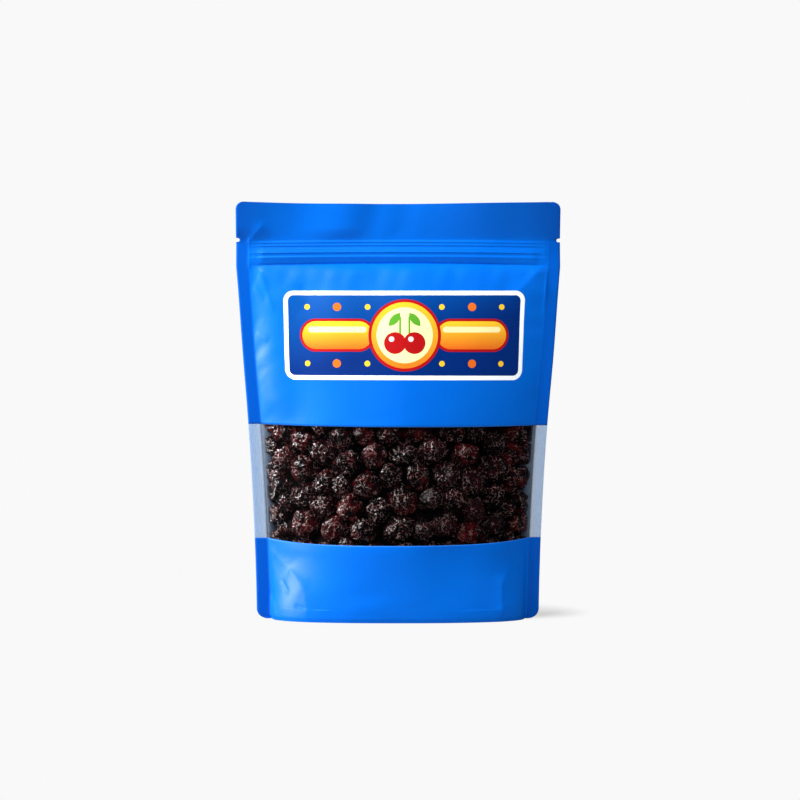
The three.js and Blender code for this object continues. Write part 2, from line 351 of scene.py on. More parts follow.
BACK_FOLDS = (
    ((-66, 161), (-48, 146), 0.9, 4.5, 1.2),
    ((66, 161), (48, 146), 0.8, 1.2, 4.5),
    ((-66, 30), (-48, 7), 1.1, 4.0, 1.4),
    ((66, 34), (50, 9), 1.2, 1.4, 4.5),
    ((-30, 6), (-34, 1), 0.4, 1.2, 1.2),
)


def zip_relief(up, side):
    """The press zip: its ridges, with fine ribs on its track, lower at both ends, and gone at the seals."""
    above = up - ZIP_FOOT
    ridges = np.interp(above, ZIP_EDGES, ZIP_RELIEF, left=0, right=0)
    ribs = RIB_HEIGHT * np.sin(2 * np.pi * up / RIB_PITCH) * plateau(*RIB_TRACK, above)
    return (ridges + ribs) * (1 - side**SEAL_HOLD) * (1 - ZIP_END_DROP * smooth_step(*ZIP_END, side))


def side_line(across, up):
    """A narrow line inside the side seals' inner edges: at the zip's ends, and at two places on the
    right."""
    beside_zip = plateau(BELLY_TOP - 2, BELLY_TOP, ZIP_TOP, ZIP_TOP + 2, up)
    at_zip = np.where(across < 0, *ZIP_SIDE_LINE) * beside_zip
    right = (across > 0) * sum(height * bell(up - place, reach) for height, place, reach in RIGHT_SIDE_LINE)
    return bell(np.abs(across) - FILM_HALF + 0.4, 0.45) * (at_zip + right)


def crumples(place, side, seed):
    """Crumples that run in from the side seals and rise inwards: a random field, with ridges along its zero
    lines, that dies out towards the middle."""
    field = ripples(place * (0.45, 1) + np.abs(place[..., :1]) * (0, 0.35), 9, seed)
    ridges = CRUMPLE_RIDGES * np.exp(-RIDGE_SHARP * np.abs(field))
    return (CRUMPLES * field + ridges) * np.exp(-(1 - side) * FILM_HALF / 8)


def film_relief(across, up, folds, seed):
    """How far the film stands out from the plain belly: the zip, dents under it, crumples that run in from
    the side seals, single creases, the seam above the base, and a slow unevenness all over."""
    place = np.stack([across, up], -1)
    side = np.minimum(np.abs(across) / FILM_HALF, 1)
    uneven = UNEVEN * ripples(place * (1, 0.6), 38, seed)
    dents = DENTS * ripples(place * (1, 0.5), 9, seed + 1) * bell(up - (BELLY_TOP - 4), 7)
    calm = 1 - CALM * plateau(BAND_FOOT - 4, BAND_FOOT + 2, BAND_HEAD - 2, BAND_HEAD + 4, up)
    calm = calm * smooth_step(SEAM_HEIGHT, SEAM_HEIGHT + 9, up)
    creased = sum(fold(across, up, *one) for one in folds)
    shoulder = SHOULDER * bell(across + 57, 8) * plateau(88, 102, 146, 158, up)
    belly = calm * (uneven + crumples(place, side, seed + 2)) + dents + creased + shoulder
    held = (1 - side**SEAL_HOLD) * (1 - smooth_step(BELLY_TOP - 3, BELLY_TOP + 1, up))
    seam = SEAM + sum(height * bell(across - middle, reach) for height, middle, reach in SEAM_SWELLS)
    seam = seam * np.clip(up / SEAM_HEIGHT, 0, 1) * (1 - smooth_step(-0.3, 0.3, up - SEAM_HEIGHT))
    rolled = ROLL * (1 - smooth_step(0, RIM, up))
    return zip_relief(up, side) + side_line(across, up) + held * belly + seam * (1 - side**30) - rolled


def film_points(across, up, side, folds, seed):
    """Points of one face, side -1 for the front and 1 for the back. Between the seals the film is an arc in
    plan, boxier towards the base, and moved out along the arc's normal by the relief; beyond them it is
    flat."""
    share = np.clip(across / FILM_HALF, -1, 1)
    dip = 1 - np.abs(share) ** np.interp(up, SAG_POWER_HEIGHTS, SAG_POWERS)
    z = up - np.interp(up, SAG_HEIGHTS, SAG_DEPTHS) * dip + np.interp(up, SAG_HEIGHTS, TILTS) * share
    half, depth, radius = film_arc(up)
    turn = share * np.arcsin(half / radius)
    arc = depth - radius * (1 - np.cos(turn))
    belly_x = radius * np.sin(turn)
    boxy = 1 - smooth_step(0, BOX_RISE, up)
    relief = film_relief(across, up, folds, seed)
    beyond = np.clip(np.abs(across) - FILM_HALF, 0, SEAL) / SEAL
    wider = LEFT_SEAL_MORE * (across < 0) * (1 - smooth_step(*LEFT_SEAL_UP, up))
    flat = beyond * (SEAL + wider - edge_inset(up))
    x = belly_x + relief * np.sin(turn) + np.sign(across) * flat
    out = SHEET + arc + boxy * (depth * boxy_plan(belly_x / half) - arc) + relief * np.cos(turn)
    return np.stack([x, side * out + header_sway(across, up) + seal_turn(across, up), z], -1)


def film_columns(step):
    """Places across one face, closer together beside the seals, with both seals' edges among them."""
    count = round(2 * FILM_HALF / step)
    share = np.linspace(-1, 1, count + 1)
    belly = FILM_HALF * (share + 0.5 * np.sin(np.pi * share) / np.pi)
    seal = FILM_HALF + np.linspace(0, SEAL, SEAL_COLUMNS + 1)[1:]
    return np.concatenate([-seal[::-1], belly, seal])


def film_rows(low, high, step):
    """Heights from low to high, with extra ones at the zip, the notches, the corners and the seam."""
    even = np.linspace(low, high, round((high - low) / step) + 1)
    zip_rows = ZIP_FOOT + np.arange(-3.5, 9.2, 0.15)
    round_steps = NOTCH_RADIUS * np.sin(np.linspace(-np.pi / 2, np.pi / 2, 9))
    notch = NOTCH_HEIGHT + np.concatenate([round_steps, [-NOTCH_RADIUS - 0.01, NOTCH_RADIUS + 0.01]])
    quarter = 1 - np.cos(np.linspace(0, np.pi / 2, 8))
    corners = np.concatenate([BASE_CORNER * quarter, HEIGHT - TOP_CORNER * quarter])
    seam = SEAM_HEIGHT + np.linspace(-0.8, 0.8, 7)
    wanted = np.concatenate([even, zip_rows, notch, corners, seam])
    rows = np.unique(np.round(wanted[(wanted >= low) & (wanted <= high)], 3))
    crowded = np.concatenate([[False], np.diff(rows) < 0.005])
    return rows[~crowded]


def grid_faces(rows, columns, flipped=False):
    """The four corners of each cell of a grid that is numbered row by row."""
    first = (np.arange(rows - 1)[:, None] * columns + np.arange(columns - 1)).reshape(-1, 1)
    corners = first + np.array([0, 1, columns + 1, columns])
    return corners[:, ::-1] if flipped else corners


def new_piece(name, points, faces, material):
    """An object with this mesh, smooth, its place in its mesh."""
    mesh = bpy.data.meshes.new(name)
    mesh.from_pydata(points * MM, (), faces)
    mesh.shade_smooth()
    mesh.materials.append(material)
    piece = bpy.data.objects.new(name, mesh)
    bpy.context.scene.collection.objects.link(piece)
    return piece


def place_on(piece, node):
    """The piece rides on the model's root and stands for a node of the model, which is hidden."""
    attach(piece, "root")
    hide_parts(node)
    return piece


def film_map(piece, across, up):
    """Gives the piece a map that holds each corner's place on the flat film."""
    layer = piece.data.uv_layers.new(name="film")
    flat = np.stack([across.ravel() / PRINT_SCALE + 0.5, up.ravel() / PRINT_SCALE], -1)
    corner = np.empty(len(piece.data.loops), np.int32)
    piece.data.loops.foreach_get("vertex_index", corner)
    layer.uv.foreach_set("vector", flat[corner].astype(np.float32).ravel())


def thicken(piece, thickness):
    """Gives a sheet its thickness, inwards."""
    solid = piece.modifiers.new("thickness", "SOLIDIFY")
    solid.thickness = thickness * MM
    solid.offset = -1


def film_piece(name, columns, rows, side, material):
    """One stretch of the film, over these places on it."""
    across, up = np.meshgrid(columns, rows)
    folds, seed = (FRONT_FOLDS, 11) if side < 0 else (BACK_FOLDS, 47)
    points = film_points(across, up, side, folds, seed)
    faces = grid_faces(len(rows), len(columns), flipped=side > 0)
    piece = new_piece(name, points.reshape(-1, 3), faces, material)
    film_map(piece, across, up)
    thicken(piece, FILM)
    return place_on(piece, "pouch")


def gusset_piece(material):
    """The folded base: a roof that bends down to the film's lower edge all round and rises to a fold along
    the middle. Its outline is the boxy plan of the base, a little inside the film."""
    half = (half_width(0) - SEAL) * BOX_END - GUSSET_INSET
    along = np.sin(np.linspace(-1, 1, GUSSET_COLUMNS) * np.pi / 2)
    reach = (BELLY_DEPTH - GUSSET_INSET) * boxy_plan(along * BOX_END) + SHEET
    share = np.sin(np.linspace(-1, 1, GUSSET_ROWS) * np.pi / 2)[:, None]
    x = np.broadcast_to(along * half, (GUSSET_ROWS, GUSSET_COLUMNS))
    y = share * reach
    rise = GUSSET_EDGE + (GUSSET_FOLD - GUSSET_EDGE) * np.exp(-np.abs(share) * GUSSET_SLOPE)
    from_rim = np.minimum(reach - np.abs(y), half - np.abs(x))
    waves = GUSSET_WAVES * ripples(np.stack([x, y], -1), GUSSET_WAVE_LENGTH, 5)
    z = GUSSET_LIFT + rise * smooth_step(0, RIM, from_rim) + waves * smooth_step(1, 5, from_rim)
    points = np.stack([x, y, z], -1).reshape(-1, 3)
    piece = new_piece("gusset", points, grid_faces(GUSSET_ROWS, GUSSET_COLUMNS, flipped=True), material)
    film_map(piece, points[:, 0], points[:, 1] + GUSSET_ON_MAP)
    thicken(piece, -FILM)
    return place_on(piece, "pouch")


def pull_inside(points, room, gap=0.0):
    """Moves points in plan so that they are at least the room and the gap inside both films' arcs."""
    _, depth, radius = film_arc(points[..., 2])
    for side in (-1, 1):
        behind = side * (radius - depth)
        reach = np.hypot(points[..., 0], points[..., 1] + behind)
        share = np.minimum(1, (radius - room - gap) / reach)
        points[..., 0] *= share
        points[..., 1] = (points[..., 1] + behind) * share - behind


def keep_inside(centres, room):
    """Moves each centre so that a ball of its room stays between the heap's ends and inside both films."""
    centres[:, 2] = np.clip(centres[:, 2], HEAP_FOOT + room, HEAP_HEAD - room)
    pull_inside(centres, room, FILM_GAP)


def settled_cherries():
    """Centres and radii of the cherries: evenly scattered, then pushed apart where they overlap, drawn a
    little to the film and kept inside it, step by step."""
    number = np.arange(1, CHERRIES + 1)
    radii = CHERRY_RADIUS + CHERRY_SPREAD * ((0.5 + number * SHAPE_STEPS[0]) % 1)
    scattered = (0.5 + number[:, None] * PLACE_STEPS) % 1
    centres = np.empty((CHERRIES, 3))
    centres[:, 0] = (2 * scattered[:, 0] - 1) * BASE_WIDTH / 2
    centres[:, 1] = (2 * scattered[:, 1] - 1) * BELLY_DEPTH
    centres[:, 2] = HEAP_FOOT + scattered[:, 2] * (HEAP_HEAD - HEAP_FOOT)
    keep_inside(centres, radii)
    room = radii[:, None] + radii
    for _ in range(SETTLING_STEPS):
        apart = centres[:, None] - centres
        distance = np.linalg.norm(apart, axis=-1)
        np.fill_diagonal(distance, np.inf)
        overlap = np.clip(room - distance, 0, None)
        centres = centres + (apart * (PUSH * overlap / distance)[..., None]).sum(1)
        outward = np.clip(np.abs(centres[:, 1]) / belly_depth(centres[:, 2]) - PULLED, 0, None)
        centres[:, 1] += np.sign(centres[:, 1]) * PULL * outward
        keep_inside(centres, radii)
    return centres, radii


def inside_film(points, side):
    """How far points are inside the film of one side."""
    _, depth, radius = film_arc(points[..., 2])
    return radius - np.hypot(points[..., 0], points[..., 1] + side * (radius - depth))


def ball_grid(rows, columns):
    """Directions over a ball and its triangles: rings from pole to pole, each pole one point."""
    down = np.pi * np.arange(1, rows) / rows
    turn = 2 * np.pi * np.arange(columns) / columns
    ring = np.stack([np.sin(down)[:, None] * np.cos(turn), np.sin(down)[:, None] * np.sin(turn),
                     np.broadcast_to(np.cos(down)[:, None], (rows - 1, columns))], -1).reshape(-1, 3)
    directions = np.concatenate([[[0, 0, 1]], ring, [[0, 0, -1]]])
    here = np.arange(columns)
    after = (here + 1) % columns
    start = 1 + np.arange(rows - 2)[:, None] * columns
    a, b = start + here, start + after
    c, d = b + columns, a + columns
    walls = np.concatenate([np.stack([a, d, c], -1).reshape(-1, 3), np.stack([a, c, b], -1).reshape(-1, 3)])
    top = np.stack([np.zeros(columns, int), 1 + here, 1 + after], -1)
    last = 1 + (rows - 2) * columns
    bottom = np.stack([np.full(columns, len(directions) - 1), last + after, last + here], -1)
    return directions, np.concatenate([top, walls, bottom])


def wave_field(directions, waves_per_turn, seed, amount, count=10):
    """A random field of sine waves over many balls at once, with this many waves to a turn. One row for each
    ball."""
    draw = np.random.default_rng(seed)
    ways = draw.normal(size=(amount, count, 3))
    lengths = np.linalg.norm(ways, axis=-1, keepdims=True)
    ways *= waves_per_turn * draw.uniform(0.7, 1.4, (amount, count, 1)) / lengths
    starts = draw.uniform(0, 2 * np.pi, (amount, count, 1))
    return np.sin(ways @ directions.T + starts).sum(1) * math.sqrt(2 / count)


def ridged(directions, waves_per_turn, seed, amount):
    """Wrinkles over many balls: ridges along the zero lines of their random fields."""
    return np.exp(-np.abs(wave_field(directions, waves_per_turn, seed, amount)) * RIDGE_SHARP)


def turned(amount, seed):
    """Random rotations, one matrix each, from random quaternions."""
    q = np.random.default_rng(seed).normal(size=(amount, 4))
    w, x, y, z = (q / np.linalg.norm(q, axis=1, keepdims=True)).T
    return np.stack([
        1 - 2 * (y * y + z * z), 2 * (x * y - w * z), 2 * (x * z + w * y),
        2 * (x * y + w * z), 1 - 2 * (x * x + z * z), 2 * (y * z - w * x),
        2 * (x * z - w * y), 2 * (y * z + w * x), 1 - 2 * (x * x + y * y)], -1).reshape(-1, 3, 3)


def cherry_piece(name, centres, radii, grid, stretch, wrinkle, seed, material):
    """Many dried cherries in one mesh: balls stretched along three axes, with a dimple at the stalk's end
    and three sizes of wrinkle, each turned its own way and flattened where it would pass the film."""
    directions, triangles = ball_grid(*grid)
    amount = len(centres)
    from_stalk = np.arccos(np.clip(directions[:, 2], -1, 1))
    form = 1 - DIMPLE * bell(from_stalk, DIMPLE_WIDTH) + FLATTENED * np.cos(2 * from_stalk)
    form = form + LUMPS * wave_field(directions, LUMP_WAVES, seed + 4, amount)
    wrinkles = sum(height * (ridged(directions, waves, seed + i, amount) - mean)
                   for i, (waves, height, mean) in enumerate(WRINKLES))
    shape = (form + wrinkle * wrinkles)[..., None] * directions * np.array(stretch)
    points = shape * CHERRY_FULL * radii[:, None, None] @ turned(amount, seed + 7).transpose(0, 2, 1)
    points = points + centres[:, None]
    z = points[..., 2]
    pull_inside(points, np.where((z > BAND_FOOT - BAND_NEAR) & (z < BAND_HEAD + BAND_NEAR), *CHERRY_INSIDE))
    faces = (np.arange(amount)[:, None, None] * len(directions) + triangles).reshape(-1, 3)
    piece = new_piece(name, points.reshape(-1, 3), faces, material)
    tint = np.repeat(np.random.default_rng(seed + 9).uniform(0, 1, amount), len(directions))
    piece.data.attributes.new("tint", "FLOAT", "POINT").data.foreach_set("value", tint.astype(np.float32))
    return place_on(piece, "cherries")


def heap_core(material):
    """The middle of the heap, a sheet painted dark as the shade inside it: at an even depth inside both
    films, and beside that a thin wing that runs out to the seals, closed at both ends."""
    levels = np.linspace(BAND_FOOT - CORE_BEYOND, BAND_HEAD + CORE_BEYOND, CORE_LEVELS)
    u = np.linspace(-1, 1, CORE_COLUMNS)
    half, depth, radius = (value[:, None] for value in film_arc(levels))
    turn = u * np.arcsin(half / radius)
    x = (1 + CORE_UNDER / half) * radius * np.sin(turn)
    film = np.clip(depth - radius + np.sqrt(radius**2 - x**2), 0, None)
    y = -np.maximum(film - CORE_DEPTH, np.minimum(film * 0.5, CORE_WING) + 0.02)
    ring = np.stack([np.concatenate([x, x[:, ::-1]], 1), np.concatenate([y, -y[:, ::-1]], 1)], -1)
    up = np.broadcast_to(levels[:, None, None], (*ring.shape[:2], 1))
    points = np.concatenate([ring, up], -1)
    size = ring.shape[1]
    here = np.arange(size)
    after = (here + 1) % size
    start = np.arange(len(levels) - 1)[:, None] * size
    near, far = start + here, start + after
    walls = np.stack([near, far, far + size, near + size], -1).reshape(-1, 4)
    left = np.arange(len(u) - 1)
    foot = np.stack([left, size - 1 - left, size - 2 - left, left + 1], -1)
    head = foot[:, ::-1] + (len(levels) - 1) * size
    piece = new_piece("heap_core", points.reshape(-1, 3), np.concatenate([walls, foot, head]), material)
    return place_on(piece, "cherries")


class Nodes:
    """Adds nodes to a tree. A value that is another node's output is linked, and any other is set."""

    def __init__(self, tree):
        self.tree = tree

    def feed(self, node, inputs):
        """Links or sets these inputs of a node."""
        for name, value in inputs.items():
            if isinstance(value, bpy.types.NodeSocket):
                self.tree.links.new(value, node.inputs[name])
            else:
                node.inputs[name].default_value = value

    def add(self, kind, inputs=None, **settings):
        """A new node with these settings and inputs."""
        node = self.tree.nodes.new(kind)
        for name, value in settings.items():
            setattr(node, name, value)
        self.feed(node, inputs or {})
        return node

    def math(self, operation, *values, clamp=False):
        inputs = dict(enumerate(values))
        return self.add("ShaderNodeMath", inputs, operation=operation, use_clamp=clamp).outputs[0]

    def plus(self, first, second):
        return self.math("ADD", first, second)

    def minus(self, first, second):
        return self.math("SUBTRACT", first, second)

    def times(self, first, second):
        return self.math("MULTIPLY", first, second)

    def size(self, value):
        """A value without its sign."""
        return self.math("ABSOLUTE", value)

    def vector(self, operation, first, second):
        return self.add("ShaderNodeVectorMath", {0: first, 1: second}, operation=operation).outputs[0]

    def parts(self, vector):
        """The x, y and z of a vector."""
        return self.add("ShaderNodeSeparateXYZ", {0: vector}).outputs

    def mix(self, share, low, high):
        """A colour between two, by a share."""
        ends = (end if isinstance(end, bpy.types.NodeSocket) else (*end, 1) for end in (low, high))
        return self.add("ShaderNodeMix", {0: share, **dict(zip((6, 7), ends))}, data_type="RGBA").outputs[2]

    def between(self, value, low, high, to_low=0.0, to_high=1.0, way="LINEAR"):
        """Maps a value from one range to another, held at its ends."""
        inputs = {"Value": value, "From Min": low, "From Max": high, "To Min": to_low, "To Max": to_high}
        return self.add("ShaderNodeMapRange", inputs, interpolation_type=way).outputs[0]

    def noise(self, place, scale, detail, roughness=0.5):
        inputs = {"Vector": place, "Scale": scale, "Detail": detail, "Roughness": roughness}
        return self.add("ShaderNodeTexNoise", inputs).outputs["Fac"]

    def bump(self, height, strength, distance):
        inputs = {"Height": height, "Strength": strength, "Distance": distance}
        return self.add("ShaderNodeBump", inputs).outputs[0]

    def group(self, tree, place):
        """What a node group puts out at a place."""
        return self.add("ShaderNodeGroup", {"Place": place}, node_tree=tree).outputs

    def place(self):
        """The place on the object, in metres."""
        return self.add("ShaderNodeTexCoord").outputs["Object"]

    def film_place(self):
        """The place on the flat film, in millimetres, by the film's map."""
        flat = self.add("ShaderNodeUVMap", uv_map="film").outputs[0]
        return self.vector("MULTIPLY", self.vector("ADD", flat, (-0.5, 0, 0)), (PRINT_SCALE,) * 3)

    def edge_on(self):
        """0 where a surface faces the view, and 1 where it is seen edge-on."""
        return self.add("ShaderNodeLayerWeight", {"Blend": 0.5}).outputs["Facing"]


def srgb(red, green, blue):
    """A colour given in the 0 to 255 of a picture, as the linear values that a shader takes."""
    share = np.array([red, green, blue]) / 255
    return tuple(np.where(share <= 0.04045, share / 12.92, ((share + 0.055) / 1.055) ** 2.4))


def new_material(name):
    """A new material, what adds nodes to it, and its shader."""
    material = bpy.data.materials.new(name)
    material.use_nodes = True
    tree = material.node_tree
    return material, Nodes(tree), tree.nodes["Principled BSDF"]


def new_group(name, vectors, values, results):
    """A new node group that takes these vectors and values and puts out these results, what adds nodes to
    it, and what it is given."""
    tree = bpy.data.node_groups.new(name, "ShaderNodeTree")
    sockets = ((vectors, "INPUT", "Vector"), (values, "INPUT", "Float"), (results, "OUTPUT", "Float"))
    for names, way, kind in sockets:
        for socket in names:
            tree.interface.new_socket(socket, in_out=way, socket_type="NodeSocket" + kind)
    n = Nodes(tree)
    return tree, n, n.add("NodeGroupInput").outputs


def rounded_box_group():
    """Mask of a rounded box on the film, soft at its edge. The distance from the edge, negative inside, is
    the length of what sticks out of the box without its corners, less the corners' radius."""
    vectors = ("Place", "Middle", "Half size")
    tree, n, given = new_group("Rounded box", vectors, ("Corner", "Soft"), ("Mask",))
    off = n.parts(n.vector("SUBTRACT", given["Place"], given["Middle"]))
    half = n.parts(given["Half size"])
    beyond = [n.minus(n.size(off[axis]), n.minus(half[axis], given["Corner"])) for axis in (0, 1)]
    out = [n.math("MAXIMUM", value, 0.0) for value in beyond]
    length = n.math("SQRT", n.plus(n.times(out[0], out[0]), n.times(out[1], out[1])))
    inner = n.math("MINIMUM", n.math("MAXIMUM", *beyond), 0.0)
    distance = n.minus(n.plus(length, inner), given["Corner"])
    mask = n.math("SUBTRACT", 0.5, n.math("DIVIDE", distance, given["Soft"]), clamp=True)
    n.add("NodeGroupOutput", {"Mask": mask})
    return tree


# pale crests of the cherries' wrinkles: partly sugary wear, partly painted glints
WORN_AND_GLINT = srgb(176, 142, 138)
# colour of the painted sheen where the clear film is seen edge-on
EDGE_SHEEN = srgb(132, 148, 170)
HAZE_DEEP = srgb(104, 116, 136)
HAZE_PALE = srgb(158, 178, 202)
# painted shade at the seals' inner edge, where the film turns away
SHADE = srgb(58, 66, 82)
CLEAR = srgb(16, 18, 22)
MILKY = srgb(92, 148, 202)
# the heap's core: painted shade, and painted light beside the seals
CORE_PAINTED_SHADE = srgb(3, 2, 3)
CORE_PAINTED_LIGHT = srgb(120, 136, 158)
FILM_BLUE = srgb(0, 96, 200)
FILM_BLUE_DEEP = srgb(0, 92, 195)
SEAL_AND_CORNER_SHADE_BLUE = srgb(0, 80, 178)  # where two films are sealed together, they look deeper; above the zip this blue also spreads over the header's corners as painted shade
BAND_LINE = srgb(100, 160, 216)
PANEL_WHITE = srgb(240, 246, 250)
PANEL_BLUE_TOP = srgb(0, 78, 158)
PANEL_BLUE_FOOT = srgb(0, 37, 106)
PRINT_CREAM = srgb(236, 222, 160)
PRINT_YELLOW = srgb(230, 184, 42)
PRINT_ORANGE = srgb(212, 100, 28)
PRINT_RED = srgb(160, 15, 18)
PRINT_LEAF = srgb(80, 148, 40)


def film_texture_group():
    """Fine unevenness of printed film: a height for its bump, and a change of its gloss and of its tone."""
    tree, n, given = new_group("Film texture", ("Place",), (), ("Height", "Gloss", "Tone"))
    grain = n.noise(given["Place"], 1400.0, 2.0)
    creep = n.noise(given["Place"], 110.0, 3.0, 0.55)
    tone = n.noise(given["Place"], 22.0, 2.0)
    gloss = n.between(n.plus(creep, tone), 0.7, 1.3)
    n.add("NodeGroupOutput", {"Height": n.plus(n.times(grain, 0.12), creep), "Gloss": gloss, "Tone": tone})
    return tree


def printed_panel(n, place, blue):
    """The colours of the front: a white-edged dark blue panel, on either side of it a yellow bar with a red
    edge and dots above and below, and in its middle a disc with two red fruits on stalks and two leaves."""
    box = rounded_box_group()
    middle_x, middle_y = PANEL_MIDDLE

    def shape(x, y, half_x, half_y, corner, soft=PRINT_SOFT):
        inputs = {"Place": place, "Middle": (middle_x + x, middle_y + y, 0), "Corner": corner, "Soft": soft}
        inputs["Half size"] = (half_x, half_y, 0)
        return n.add("ShaderNodeGroup", inputs, node_tree=box).outputs["Mask"]

    def disc(x, y, radius, soft=PRINT_SOFT):
        return shape(x, y, radius, radius, radius, soft)

    across, up = n.parts(place)[:2]
    slant = n.minus(up, n.times(across, PANEL_SLANT))
    deep = n.mix(n.between(slant, middle_y - 5, middle_y + 35), PANEL_BLUE_FOOT, PANEL_BLUE_TOP)
    inner = [half - PANEL_BORDER for half in PANEL_HALF]
    colour = n.mix(shape(0, 0, *PANEL_HALF, PANEL_CORNER), blue, PANEL_WHITE)
    colour = n.mix(shape(0, 0, *inner, PANEL_CORNER - PANEL_BORDER), colour, deep)
    shaded = n.mix(n.between(up, middle_y - 6, middle_y + 6), PRINT_ORANGE, PRINT_YELLOW)
    for x in (-BAR_PLACE, BAR_PLACE):
        colour = n.mix(shape(x, 0, 17.5, 7.6, 7.6), colour, PRINT_RED)
        colour = n.mix(shape(x, 0, 16.3, 6.4, 6.4), colour, shaded)
        colour = n.mix(shape(x, 2.6, 13.5, 1.3, 1.3, 0.5), colour, PRINT_CREAM)
        for y in (-DOT_UP, DOT_UP):
            for step in (-14, 14):
                colour = n.mix(disc(x + step, y, 1.3), colour, PRINT_YELLOW)
            colour = n.mix(disc(x, y, 1.9), colour, PRINT_ORANGE)
    rise = n.between(up, middle_y - PANEL_HALF[1], middle_y + PANEL_HALF[1])
    yellow = n.mix(rise, PRINT_ORANGE, PRINT_YELLOW)
    for radius, paint in ((16.6, PRINT_RED), (15.2, yellow), (12.8, PRINT_CREAM)):
        colour = n.mix(disc(0, 0, radius), colour, paint)
    for side in (-1, 1):
        tip, middle = side * 2.2, side * 4.6
        leaf = n.math("MINIMUM", disc(middle - 2.6, 7.2 - tip, 5.2), disc(middle + 2.6, 7.2 + tip, 5.2))
        colour = n.mix(shape(side * 2.1, 3.4, 0.45, 5.2, 0.45), colour, PRINT_LEAF)
        colour = n.mix(leaf, colour, PRINT_LEAF)
        colour = n.mix(disc(side * 4.4, -3.6, 5.0), colour, PRINT_RED)
        colour = n.mix(disc(side * 4.4 - 1.6, -1.8, 1.1, 0.6), colour, PANEL_WHITE)
    return colour


def film_material(name, texture, front):
    """Printed film: an even blue, satin, a little deeper in places and at the seals, with painted shade in
    the header's corners above the zip, a thin pale line where the print ends at the clear band, and rougher
    where it is seen edge-on."""
    material, n, shader = new_material(name)
    place = n.film_place()
    uneven = n.group(texture, n.place())
    colour = n.mix(n.between(uneven["Tone"], 0.35, 0.65), FILM_BLUE_DEEP, FILM_BLUE)
    if front:
        colour = printed_panel(n, place, colour)
    across, up = n.parts(place)[:2]
    foot, head = (n.size(n.minus(up, edge)) for edge in (BAND_FOOT, BAND_HEAD))
    colour = n.mix(n.between(n.math("MINIMUM", foot, head), 0.1, 0.35, 0.2, 0.0), colour, BAND_LINE)
    from_middle = n.size(across)
    sealed = n.between(from_middle, FILM_HALF - 0.2, FILM_HALF + 0.4)
    # painted shade: above the zip the seals' deeper blue reaches well in, to darken the header's corners
    corner = n.between(from_middle, FILM_HALF - 12, FILM_HALF + 6)
    above = n.between(up, ZIP_TOP - 3, ZIP_TOP + 3)
    sealed = n.add("ShaderNodeMix", {0: above, 2: sealed, 3: corner}).outputs[0]
    gloss = n.between(uneven["Gloss"], 0.0, 1.0, 0.37, 0.45)
    n.feed(shader, {
        "Base Color": n.mix(sealed, colour, SEAL_AND_CORNER_SHADE_BLUE),
        "Roughness": n.between(n.edge_on(), 0.8, 0.97, gloss, 1.0),
        "Normal": n.bump(uneven["Height"], 0.25, 0.0004),
        "Specular IOR Level": 0.09,
    })
    return material


def clear_material(name, colour, alpha, texture, haze_from, haze_colour, shaded=False):
    """Clear film: mostly see-through, with a satin shine, a haze that grows from haze_from, in millimetres
    from the middle, to the inner edge of the seals, a painted sheen where it is seen edge-on, and if shaded
    a painted shade at the inner edge, where the film turns away."""
    material, n, shader = new_material(name)
    uneven = n.group(texture, n.place())
    toned = n.mix(uneven["Tone"], colour, tuple(0.92 * c for c in colour))
    # painted sheen: a pale colour and more cover where the film is seen edge-on
    sheen = n.between(n.edge_on(), 0.6, 1.0)
    sheen = n.times(sheen, sheen)
    from_middle = n.size(n.parts(n.film_place())[0])
    haze = n.between(from_middle, haze_from, FILM_HALF)
    haze = n.times(haze, haze)
    toned = n.mix(sheen, n.mix(haze, toned, haze_colour), EDGE_SHEEN)
    cover = n.between(n.math("MAXIMUM", haze, sheen), 0.0, 1.0, alpha, 0.34)
    if shaded:
        # painted shade along the seals' inner edge
        shade = n.between(from_middle, FILM_HALF + SEAL_SHADE, FILM_HALF)
        toned = n.mix(shade, toned, SHADE)
        cover = n.between(shade, 0.0, 1.0, cover, 0.5)
    roughness = n.between(uneven["Gloss"], 0.0, 1.0, 0.18, 0.3)
    n.feed(shader, {"Base Color": toned, "Alpha": cover, "Roughness": roughness, "Specular IOR Level": 0.12})
    return material


def fruit_material(name, dark, red, worn_glint_share, shine, skin):
    """Skin of a dried cherry: nearly black, wine red on some and on parts, with fine wrinkles, pale on their
    crests, partly as sugary wear and partly as painted glints, and a sticky gloss."""
    material, n, shader = new_material(name)
    tint = n.add("ShaderNodeAttribute", attribute_name="tint").outputs["Fac"]
    skin = n.group(skin, n.place())
    colour = n.mix(n.between(n.plus(skin["Patch"], n.times(tint, 0.16)), 0.53, 0.82), dark, red)
    n.feed(shader, {
        "Base Color": n.mix(n.times(skin["Worn glint"], worn_glint_share), colour, WORN_AND_GLINT),
        "Roughness": n.between(skin["Patch"], 0.3, 0.7, 0.05, 0.09),
        "Normal": n.bump(skin["Height"], 1.0, 0.00016),
        "Specular IOR Level": shine,
    })
    return material


def core_material():
    """The inside of the heap: almost black as painted shade, and beside the seals a painted greyish light
    that stands for what comes through both films."""
    material, n, shader = new_material("heap, inside, painted shade and light")
    place = n.place()
    light = n.between(n.size(n.parts(place)[0]), *(distance * MM for distance in CORE_LIGHT))
    uneven = n.between(n.noise(place, 300.0, 2.0), 0.3, 0.7, 0.75, 1.0)
    colour = n.mix(n.times(n.times(light, light), uneven), CORE_PAINTED_SHADE, CORE_PAINTED_LIGHT)
    n.feed(shader, {"Base Color": colour, "Roughness": 0.6, "Specular IOR Level": 0.05})
    return material


